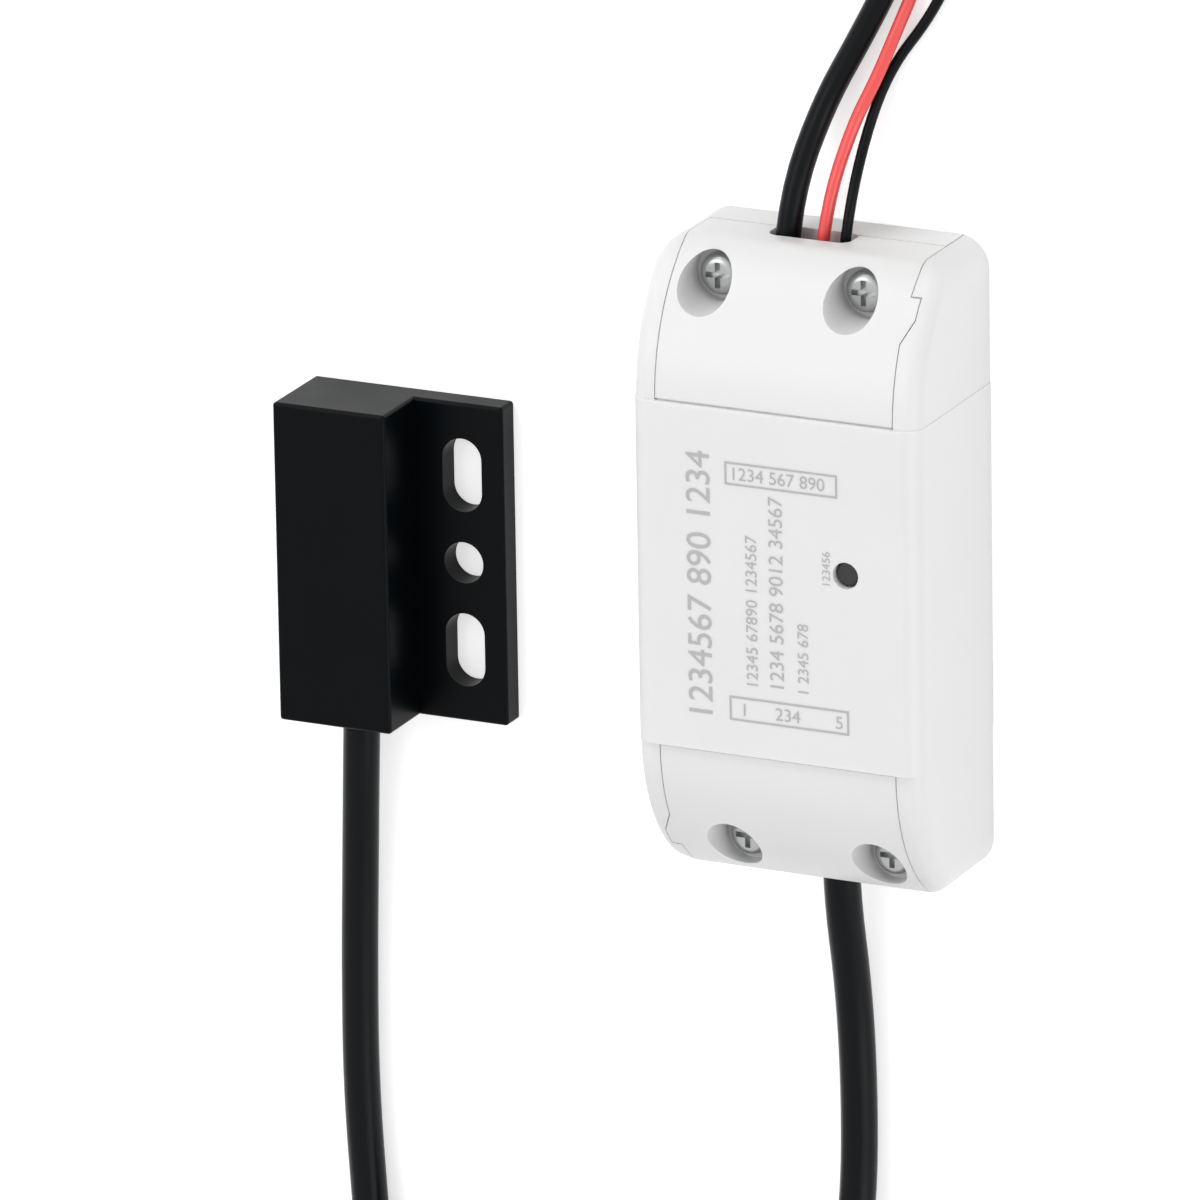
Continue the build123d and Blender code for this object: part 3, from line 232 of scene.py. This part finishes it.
# %% Power lead with its plug
power_stretch = [
    (0.02495, 0.0425, 0.0080),
    (0.0257, 0.0510, 0.0080),
    (0.0282, 0.0625, 0.0024),
    (0.0334, 0.0720, 0.00185),
    (0.0379, 0.0805, 0.0018),
    (0.0407, 0.0885, 0.0018),
    (0.0402, 0.0965, 0.0027),
    (0.0402, 0.1035, 0.0027),
]
plug_stretch = [
    (0.0102, 0.13145, 0.0068),
    (0.0042, 0.13145, 0.0068),
    (-0.0046, 0.1316, 0.0040),
    (-0.0104, 0.1316, 0.0040),
]
power_turns = coil_points((0.0137, 0.1070), power_diameter, 0.0265, (6, 5), 1, 1, quarter=True)
power_lead = lead(
    "power_lead_line",
    power_stretch + power_turns + plug_stretch,
    power_diameter,
    "black_jacket",
    ["power_lead", "power_lead_coil", "power_lead_to_plug"],
)

# %% [markdown]
# ## Output wires
#
# Two thin wires carry the relay's output, one red and one black. The red one crosses in front of the
# black one near the top of the picture, so its points stay a little higher until it is past. Each ends
# bare beside its own small coil.

# %% Red wire
red_stretch = [
    (0.03015, 0.0425, 0.0080),
    (0.0310, 0.0500, 0.0080),
    (0.0332, 0.0605, 0.0039),
    (0.0363, 0.0670, 0.0028),
    (0.0389, 0.0735, 0.0022),
    (0.0413, 0.0798, 0.0010),
    (0.0434, 0.0858, 0.00092),
    (0.0449, 0.0940, 0.0009),
    (0.0449, 0.1050, 0.0010),
    (0.0447, 0.1150, 0.00185),
    (0.0447, 0.1252, 0.00185),
]
red_finish = [
    (0.0675, 0.1252, 0.00425),
    (0.0675, 0.1216, 0.00425),
    (0.0674, 0.1154, 0.0010),
    (0.0673, 0.1110, 0.00095),
]
red_turns = coil_points((0.0561, 0.1270), red_diameter, 0.0114, (3, 3), -1, -1)
red_wire = lead(
    "red_wire_line",
    red_stretch + red_turns + red_finish,
    red_diameter,
    "red_insulation",
    ["red_wire", "red_wire_coil", "red_wire_end"],
)

# %% Black wire
black_stretch = [
    (0.03345, 0.0425, 0.0080),
    (0.0343, 0.0500, 0.0080),
    (0.0350, 0.0610, 0.0022),
    (0.0380, 0.0688, 0.00085),
    (0.0430, 0.0753, 0.00075),
    (0.0466, 0.0820, 0.0008),
    (0.0478, 0.0895, 0.0017),
    (0.0478, 0.0955, 0.0017),
]
black_finish = [
    (0.04885, 0.0985, 0.0038),
    (0.04885, 0.1017, 0.0038),
    (0.0489, 0.1074, 0.00085),
    (0.0489, 0.1110, 0.0008),
]
black_turns = coil_points((0.0584, 0.0970), black_diameter, 0.0106, (4, 3), -1, -1)
black_wire = lead(
    "black_wire_line",
    black_stretch + black_turns + black_finish,
    black_diameter,
    "black_jacket",
    ["black_wire", "black_wire_coil", "black_wire_end"],
)

# %% [markdown]
# ## Seam lips
#
# Where an end cover meets the raised panel, the real mouldings overlap on a thin lip, so the seam is a
# shallow pale groove and not a dark slit into the box. Two white bars fill the slits to just below the
# surface, a hair clear of the parts on both sides.

# %% Two lips
lip_length = 0.035
lip_height = 0.0014
lip_depth = 0.00025  # from the cover's face down to the lip
lip_clearance = 0.00001
seam_width = 0.0003
panel_low, panel_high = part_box("front_shell")
panel_middle = (panel_low.x + panel_high.x) / 2
upper_low, upper_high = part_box("upper_end_cover")
lower_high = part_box("lower_end_cover")[1]
seams = [
    # middle of the slit, face of the cover
    (upper_low.y - seam_width / 2, upper_high.z),
    (lower_high.y + seam_width / 2, lower_high.z),
]
lips = bmesh.new()
for seam, face in seams:
    bar = bmesh.ops.create_cube(lips, size=1.0)["verts"]
    bmesh.ops.scale(lips, vec=(lip_length, seam_width - 2 * lip_clearance, lip_height), verts=bar)
    bmesh.ops.translate(lips, vec=(panel_middle, seam, face - lip_depth - lip_height / 2), verts=bar)
    print("Lip at", round(seam, 5), "m, top", round(face - lip_depth, 5), "m")
lip_mesh = bpy.data.meshes.new("seam_lips")
lips.to_mesh(lip_mesh)
lips.free()
seam_lips = bpy.data.objects.new("seam_lips", lip_mesh)
scene.collection.objects.link(seam_lips)
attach(seam_lips, "controller")
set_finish(seam_lips, "white_case")

# %% [markdown]
# ## Switch dome
#
# Under the pairing button a thin steel dome buckles at each press. A copy of the dome's mesh, with its
# doubled points welded, stands for the CAD part here and has a mesh of its own.

# %% Welded copy of the dome
weld_distance = 0.000001
dome_mesh = nodes["switch_dome"].data.copy()
dome_shape = bmesh.new()
dome_shape.from_mesh(dome_mesh)
bmesh.ops.remove_doubles(dome_shape, verts=dome_shape.verts, dist=weld_distance)
dome_shape.to_mesh(dome_mesh)
dome_shape.free()
springy_dome = bpy.data.objects.new("springy_dome", dome_mesh)
scene.collection.objects.link(springy_dome)
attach(springy_dome, "controller")
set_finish(springy_dome, "spring_steel")
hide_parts("switch_dome")
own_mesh(springy_dome)

# %% [markdown]
# ## One grain for every finish
#
# No moulded, drawn or rolled surface is quite even. A picture of each surface could be wrapped round the
# parts, but it would need unwrapping and would blur close up. A shared node group makes the unevenness
# instead, from the object's own coordinates: a broad cloud shifts the colour and the gloss a little, and
# a fine one is the height for a bump. Stretching it along one axis turns it into drawn or wound lines.


# %% Helpers for node trees
def feed(tree, socket, value):
    """Link a node's input to another socket, or set it to a plain value."""
    if isinstance(value, bpy.types.NodeSocket):
        tree.links.new(value, socket)
    else:
        socket.default_value = value


def add_node(tree, kind, **inputs):
    """A node whose inputs are fed by name."""
    node = tree.nodes.new(kind)
    for label, value in inputs.items():
        feed(tree, node.inputs[label.replace("_", " ")], value)
    return node


def calculate(tree, operation, first, second, kind="ShaderNodeMath"):
    """The result of one sum on two sockets or values."""
    node = tree.nodes.new(kind)
    node.operation = operation
    feed(tree, node.inputs[0], first)
    feed(tree, node.inputs["Scale" if operation == "SCALE" else 1], second)
    return node.outputs[0]


def new_tree(name, kind, inputs, outputs):
    """A node group with named inputs and outputs, and the sockets of its two end nodes."""
    tree = bpy.data.node_groups.new(name, kind)
    for label, socket_kind, value in inputs:
        socket = tree.interface.new_socket(label, in_out="INPUT", socket_type=socket_kind)
        if value is not None:
            socket.default_value = value
    for label, socket_kind in outputs:
        tree.interface.new_socket(label, in_out="OUTPUT", socket_type=socket_kind)
    return tree, tree.nodes.new("NodeGroupInput").outputs, tree.nodes.new("NodeGroupOutput").inputs


# %% Grain group
broad_share = 0.03  # scale of the broad cloud against the fine one
gloss_shift = 0.18
grain_group, grain_in, grain_out = new_tree(
    "Grain",
    "ShaderNodeTree",
    [
        ("Colour", "NodeSocketColor", (0.8, 0.8, 0.8, 1.0)),
        ("Spread", "NodeSocketFloat", 0.03),
        ("Roughness", "NodeSocketFloat", 0.5),
        ("Scale", "NodeSocketFloat", 2500.0),
        ("Stretch", "NodeSocketVector", (1.0, 1.0, 1.0)),
    ],
    [("Colour", "NodeSocketColor"), ("Roughness", "NodeSocketFloat"), ("Height", "NodeSocketFloat")],
)
object_place = grain_group.nodes.new("ShaderNodeTexCoord").outputs["Object"]
stretched = calculate(grain_group, "MULTIPLY", object_place, grain_in["Stretch"], "ShaderNodeVectorMath")
fine_scale = grain_in["Scale"]
broad_scale = calculate(grain_group, "MULTIPLY", fine_scale, broad_share)
fine = add_node(grain_group, "ShaderNodeTexNoise", Vector=stretched, Scale=fine_scale, Detail=3.0)
broad = add_node(grain_group, "ShaderNodeTexNoise", Vector=stretched, Scale=broad_scale, Detail=2.0)
centred = calculate(grain_group, "SUBTRACT", broad.outputs["Fac"], 0.5)
shift = calculate(grain_group, "MULTIPLY", centred, grain_in["Spread"])
shade = calculate(grain_group, "ADD", shift, 1.0)
tint = calculate(grain_group, "SCALE", grain_in["Colour"], shade, "ShaderNodeVectorMath")
less_gloss = calculate(grain_group, "MULTIPLY", centred, gloss_shift)
gloss = calculate(grain_group, "ADD", less_gloss, grain_in["Roughness"])
for label, value in (("Colour", tint), ("Roughness", gloss), ("Height", fine.outputs["Fac"])):
    grain_group.links.new(value, grain_out[label])


# %% One function for every finish
even = (1.0, 1.0, 1.0)


def finish(
    name, colour, roughness, spread=0.03, scale=2500.0, stretch=even, depth=0.00001, strength=0.2, **other
):
    """A material with a grained Principled surface; other holds the surface's other inputs by name."""
    material = bpy.data.materials.new(name)
    material.use_nodes = True
    tree = material.node_tree
    grain = tree.nodes.new("ShaderNodeGroup")
    grain.node_tree = grain_group
    grained = {
        "Colour": (*colour, 1.0),
        "Spread": spread,
        "Roughness": roughness,
        "Scale": scale,
        "Stretch": stretch,
    }
    for label, value in grained.items():
        grain.inputs[label].default_value = value
    bump = add_node(tree, "ShaderNodeBump", Height=grain.outputs["Height"], Distance=depth, Strength=strength)
    surface = {
        "Base Color": grain.outputs["Colour"],
        "Roughness": grain.outputs["Roughness"],
        "Normal": bump.outputs["Normal"],
        **other,
    }
    for label, value in surface.items():
        feed(tree, tree.nodes["Principled BSDF"].inputs[label.replace("_", " ")], value)
    return material


# %% [markdown]
# ## Outer finishes
#
# The case is white plastic with a fine spark texture, so it shines softly, and a little light travels
# under its surface. The sensor, the rubber bushes and the jackets are black plastics. In the photograph
# they reflect much less than a plain Principled black does, so their specular level is lowered too.

# %% Case, sensor and leads
finishes = {
    "white_case": finish(
        "White case",
        (0.79, 0.795, 0.79),
        0.42,
        scale=3200.0,
        depth=0.00002,
        strength=0.35,
        Subsurface_Weight=0.5,
        Subsurface_Radius=(1.0, 1.0, 1.0),
        Subsurface_Scale=0.0008,
    ),
    "sensor_black": finish(
        "Sensor black",
        (0.001, 0.002, 0.003),
        0.34,
        scale=2600.0,
        depth=0.00002,
        strength=0.3,
        Specular_IOR_Level=0.08,
    ),
    "black_jacket": finish(
        "Black jacket", (0.003, 0.004, 0.005), 0.32, scale=1500.0, strength=0.15, Specular_IOR_Level=0.12
    ),
    "red_insulation": finish(
        "Red insulation", (0.86, 0.08, 0.075), 0.32, scale=1500.0, Coat_Weight=0.2
    ),
    "bush_rubber": finish("Bush rubber", (0.008, 0.008, 0.009), 0.6, Specular_IOR_Level=0.3),
    "tie_plastic": finish("Tie", (0.02, 0.02, 0.02), 0.45),
    "zinc_screw": finish(
        "Zinc screw", (0.45, 0.455, 0.455), 0.3, spread=0.25, stretch=(1.0, 6.0, 1.0), Metallic=1.0
    ),
    "grey_print": finish("Grey print", (0.46, 0.465, 0.465), 0.5),
}

# %% [markdown]
# ## Inner finishes
#
# Inside are a green board and its parts. Their plastics differ in colour and gloss. Metals take a
# Metallic of one, and the winding's grain is stretched round the bobbin, so that it reads as wire.

# %% Parts inside the case and the plug
finishes.update(
    {
        "board_green": finish("Solder mask", (0.02, 0.16, 0.07), 0.35, spread=0.2),
        "terminal_plastic": finish("Terminal plastic", (0.05, 0.28, 0.12), 0.5),
        "switch_black": finish("Switch black", (0.02, 0.02, 0.022), 0.4),
        "relay_blue": finish("Relay blue", (0.02, 0.16, 0.5), 0.22, Coat_Weight=0.3),
        "bobbin_plastic": finish("Bobbin plastic", (0.72, 0.7, 0.64), 0.5),
        "capacitor_sleeve": finish("Capacitor sleeve", (0.015, 0.017, 0.05), 0.25, Coat_Weight=0.4),
        "chip_black": finish("Chip", (0.02, 0.02, 0.02), 0.55),
        "core_insulation": finish("Core insulation", (0.65, 0.6, 0.5), 0.4),
        "light_lens": finish("Lens", (0.85, 0.92, 1.0), 0.1, Transmission_Weight=0.8),
        "reed_glass": finish("Reed glass", (0.86, 0.95, 0.9), 0.05, Transmission_Weight=0.95),
        "plated_brass": finish("Plated brass", (0.75, 0.6, 0.32), 0.28, spread=0.15, Metallic=1.0),
        "spring_steel": finish("Plated steel", (0.68, 0.67, 0.65), 0.25, spread=0.1, Metallic=1.0),
        "relay_iron": finish("Plated iron", (0.5, 0.5, 0.51), 0.38, spread=0.2, Metallic=1.0),
        "winding_copper": finish(
            "Winding", (0.6, 0.23, 0.08), 0.3, stretch=(1.0, 1.0, 12.0), depth=0.0001, Metallic=1.0
        ),
        "tinned_copper": finish(
            "Tinned copper", (0.75, 0.74, 0.72), 0.3, stretch=(1.0, 0.1, 1.0), Metallic=1.0
        ),
    }
)

# %% Finishes onto the parts
for part in frame["record"]["subparts"]:
    mesh = nodes[part["node"]].data
    mesh.materials.clear()
    mesh.materials.append(finishes[part["material_slot"]])
for piece in (sensor_cable, power_lead, red_wire, black_wire, seam_lips, springy_dome):
    piece.data.materials.clear()
    piece.data.materials.append(finishes[piece["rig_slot"]])
print("Finishes:", len(finishes))

# %% [markdown]
# ## Printed numerals
#
# The front carries small grey print. Its own words and marks are left off, and plain numerals in two
# frames and four columns stand in the same places. Print repeats one simple thing, so Geometry Nodes
# suit it: one small tree draws a run of numerals, another a frame, and a third places as many of them as
# a table asks for. The result becomes one plain mesh that lies just above the panel.

# %% Places of the print, from the middle of the panel
print_lift = 0.00003
frame_line = 0.00028
numeral_height = 0.7  # of the font at size 1
number_runs = [
    # numerals, left edge, bottom edge, height, whether they read upwards
    ("1234567 890 1234", -0.0130, -0.0203, 0.0036, True),
    ("12345 67890 1234567", -0.0042, -0.0148, 0.0017, True),
    ("1234 5678 9012 34567", -0.0007, -0.0148, 0.0021, True),
    ("1 2345 678", 0.0035, -0.0149, 0.0016, True),
    ("123456", 0.0073, 0.0012, 0.0012, True),
    ("1234 567 890", -0.0064, 0.0149, 0.0018, False),
    ("1", -0.0052, -0.0189, 0.0018, False),
    ("234", 0.0000, -0.0189, 0.0018, False),
    ("5", 0.0090, -0.0189, 0.0018, False),
]
frames = [
    # left edge, bottom edge, right edge, top edge
    (-0.0071, 0.0141, 0.0097, 0.0174),
    (-0.0068, -0.0197, 0.0111, -0.0162),
]

# %% Tree for one run of numerals
run_tree, run_in, run_out = new_tree(
    "Numeral run",
    "GeometryNodeTree",
    [
        ("Numerals", "NodeSocketString", "0"),
        ("Height", "NodeSocketFloat", 0.002),
        ("Place", "NodeSocketVector", None),
        ("Turn", "NodeSocketRotation", None),
    ],
    [("Geometry", "NodeSocketGeometry")],
)
font_size = calculate(run_tree, "DIVIDE", run_in["Height"], numeral_height)
figures = add_node(run_tree, "GeometryNodeStringToCurves", String=run_in["Numerals"], Size=font_size)
filled = add_node(run_tree, "GeometryNodeFillCurve", Curve=figures.outputs["Curve Instances"])
placed = add_node(
    run_tree,
    "GeometryNodeTransform",
    Geometry=filled.outputs[0],
    Translation=run_in["Place"],
    Rotation=run_in["Turn"],
)
run_tree.links.new(placed.outputs[0], run_out["Geometry"])

# %% Tree for one frame
frame_tree, frame_in, frame_out = new_tree(
    "Printed frame",
    "GeometryNodeTree",
    [
        ("Width", "NodeSocketFloat", 0.01),
        ("Height", "NodeSocketFloat", 0.004),
        ("Line", "NodeSocketFloat", frame_line),
        ("Place", "NodeSocketVector", None),
    ],
    [("Geometry", "NodeSocketGeometry")],
)
both_edges = frame_tree.nodes.new("GeometryNodeJoinGeometry")
for lines in (0.0, 2.0):
    inset = calculate(frame_tree, "MULTIPLY", frame_in["Line"], lines)
    width = calculate(frame_tree, "SUBTRACT", frame_in["Width"], inset)
    height = calculate(frame_tree, "SUBTRACT", frame_in["Height"], inset)
    edge = add_node(frame_tree, "GeometryNodeCurvePrimitiveQuadrilateral", Width=width, Height=height)
    frame_tree.links.new(edge.outputs[0], both_edges.inputs[0])
ring = add_node(frame_tree, "GeometryNodeFillCurve", Curve=both_edges.outputs[0])
placed = add_node(
    frame_tree, "GeometryNodeTransform", Geometry=ring.outputs[0], Translation=frame_in["Place"]
)
frame_tree.links.new(placed.outputs[0], frame_out["Geometry"])

# %% Tree for the whole print
print_tree, print_in, print_out = new_tree(
    "Panel print",
    "GeometryNodeTree",
    [("Height of the panel", "NodeSocketFloat", 0.02), ("Finish", "NodeSocketMaterial", None)],
    [("Geometry", "NodeSocketGeometry")],
)
everything = print_tree.nodes.new("GeometryNodeJoinGeometry")


def add_to_print(tree, **values):
    """One more run or frame in the print."""
    group = print_tree.nodes.new("GeometryNodeGroup")
    group.node_tree = tree
    for label, value in values.items():
        group.inputs[label].default_value = value
    print_tree.links.new(group.outputs[0], everything.inputs[0])


for numerals, left, bottom, tall, upwards in number_runs:
    corner = (panel_middle + left + (tall if upwards else 0.0), bottom, 0.0)
    turn = (0.0, 0.0, math.pi / 2 if upwards else 0.0)
    add_to_print(run_tree, Numerals=numerals, Height=tall, Place=corner, Turn=turn)
for left, bottom, right_edge, top in frames:
    middle = (panel_middle + (left + right_edge) / 2, (bottom + top) / 2, 0.0)
    add_to_print(frame_tree, Width=right_edge - left, Height=top - bottom, Line=frame_line, Place=middle)
real = add_node(print_tree, "GeometryNodeRealizeInstances", Geometry=everything.outputs[0])
lift = add_node(print_tree, "ShaderNodeCombineXYZ", Z=print_in["Height of the panel"])
lifted = add_node(
    print_tree, "GeometryNodeTransform", Geometry=real.outputs[0], Translation=lift.outputs[0]
)
coloured = add_node(
    print_tree, "GeometryNodeSetMaterial", Geometry=lifted.outputs[0], Material=print_in["Finish"]
)
print_tree.links.new(coloured.outputs[0], print_out["Geometry"])

# %% The print as a plain mesh
holder = bpy.data.objects.new("holder", bpy.data.meshes.new("holder"))
scene.collection.objects.link(holder)
grower = holder.modifiers.new("Panel print", "NODES")
grower.node_group = print_tree
settings = {"Height of the panel": panel_high.z + print_lift, "Finish": finishes["grey_print"]}
for socket in print_tree.interface.items_tree:
    if socket.name in settings:
        grower[socket.identifier] = settings[socket.name]
grown = holder.evaluated_get(bpy.context.evaluated_depsgraph_get())
print_mesh = bpy.data.meshes.new_from_object(grown)
bpy.data.objects.remove(holder)
panel_print = bpy.data.objects.new("panel_print", print_mesh)
scene.collection.objects.link(panel_print)
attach(panel_print, "controller")
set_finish(panel_print, "grey_print")
faces_up = all(face.normal.z > 0 for face in print_mesh.polygons)
print("Faces in the print:", len(print_mesh.polygons), "all upwards:", faces_up)

# %% [markdown]
# ## Table and light
#
# The photograph is a cut-out on pure white, with soft light from everywhere and a little more from above
# and from the right. A pale table under the parts keeps their shadows. More light would turn it white
# but would burn out the case too, so the table and the sky are brightened only for rays that look at
# them, straight, in a reflection or through glass. Three large soft lamps and an even sky light the case
# to a light grey white and draw highlights along the dark edges.


# %% Rays that look at the background
def background_look(tree):
    """One for a ray of the camera, of a reflection or through glass, and zero for any other ray."""
    rays = tree.nodes.new("ShaderNodeLightPath").outputs
    bounced = calculate(tree, "MAXIMUM", rays["Is Glossy Ray"], rays["Is Transmission Ray"])
    return calculate(tree, "MAXIMUM", rays["Is Camera Ray"], bounced)


# %% Table
table_drop = 0.0002
table_half = 6.0
table_glow = 0.5
white = (1.0, 1.0, 1.0, 1.0)
table_mesh = bpy.data.meshes.new("table")
table_corners = [
    (x * table_half, y * table_half, -table_drop) for x, y in ((-1, -1), (1, -1), (1, 1), (-1, 1))
]
table_mesh.from_pydata(table_corners, [], [[0, 1, 2, 3]])
table = bpy.data.objects.new("table", table_mesh)
scene.collection.objects.link(table)
table_finish = bpy.data.materials.new("Table")
table_finish.use_nodes = True
table_tree = table_finish.node_tree
table_shader = table_tree.nodes["Principled BSDF"]
table_shader.inputs["Base Color"].default_value = (0.85, 0.85, 0.85, 1.0)
table_shader.inputs["Roughness"].default_value = 0.9
table_shader.inputs["Emission Color"].default_value = white
glow = calculate(table_tree, "MULTIPLY", background_look(table_tree), table_glow)
table_tree.links.new(glow, table_shader.inputs["Emission Strength"])
table_mesh.materials.append(table_finish)

# %% Sky
sky_light = 0.7  # what falls on the parts
sky_white = 1.0  # what a look at the sky shows
world = bpy.data.worlds.new("world")
world.use_nodes = True
sky_tree = world.node_tree
brighter = calculate(sky_tree, "MULTIPLY", background_look(sky_tree), sky_white - sky_light)
strength = calculate(sky_tree, "ADD", brighter, sky_light)
sky = sky_tree.nodes["Background"]
sky.inputs["Color"].default_value = white
sky_tree.links.new(strength, sky.inputs["Strength"])
scene.world = world


# %% Lamps
def soft_light(name, place, across, tall, power):
    """A rectangular soft lamp that faces the parts, its power in watts."""
    data = bpy.data.lights.new(name, "AREA")
    data.shape = "RECTANGLE"
    data.size = across
    data.size_y = tall
    data.energy = power
    lamp = bpy.data.objects.new(name, data)
    towards = (place - light_target).to_track_quat("Z", "Y").to_matrix().to_4x4()
    lamp.matrix_world = Matrix.Translation(place) @ towards
    scene.collection.objects.link(lamp)
    return lamp


light_target = Vector((0.0, 0.0, 0.01))
lamps = [
    soft_light("key", place=Vector((-0.6, 0.4, 1.3)), across=0.9, tall=0.6, power=4.2),
    soft_light("fill", place=Vector((1.2, -0.3, 0.6)), across=0.5, tall=1.0, power=4.2),
    soft_light("strip", place=Vector((-0.5, 1.1, 0.5)), across=1.4, tall=0.35, power=5.2),
]

# %% [markdown]
# ## View
#
# The view transform is Standard, so colours come out as they are set.

# %% View
scene.view_settings.view_transform = "Standard"
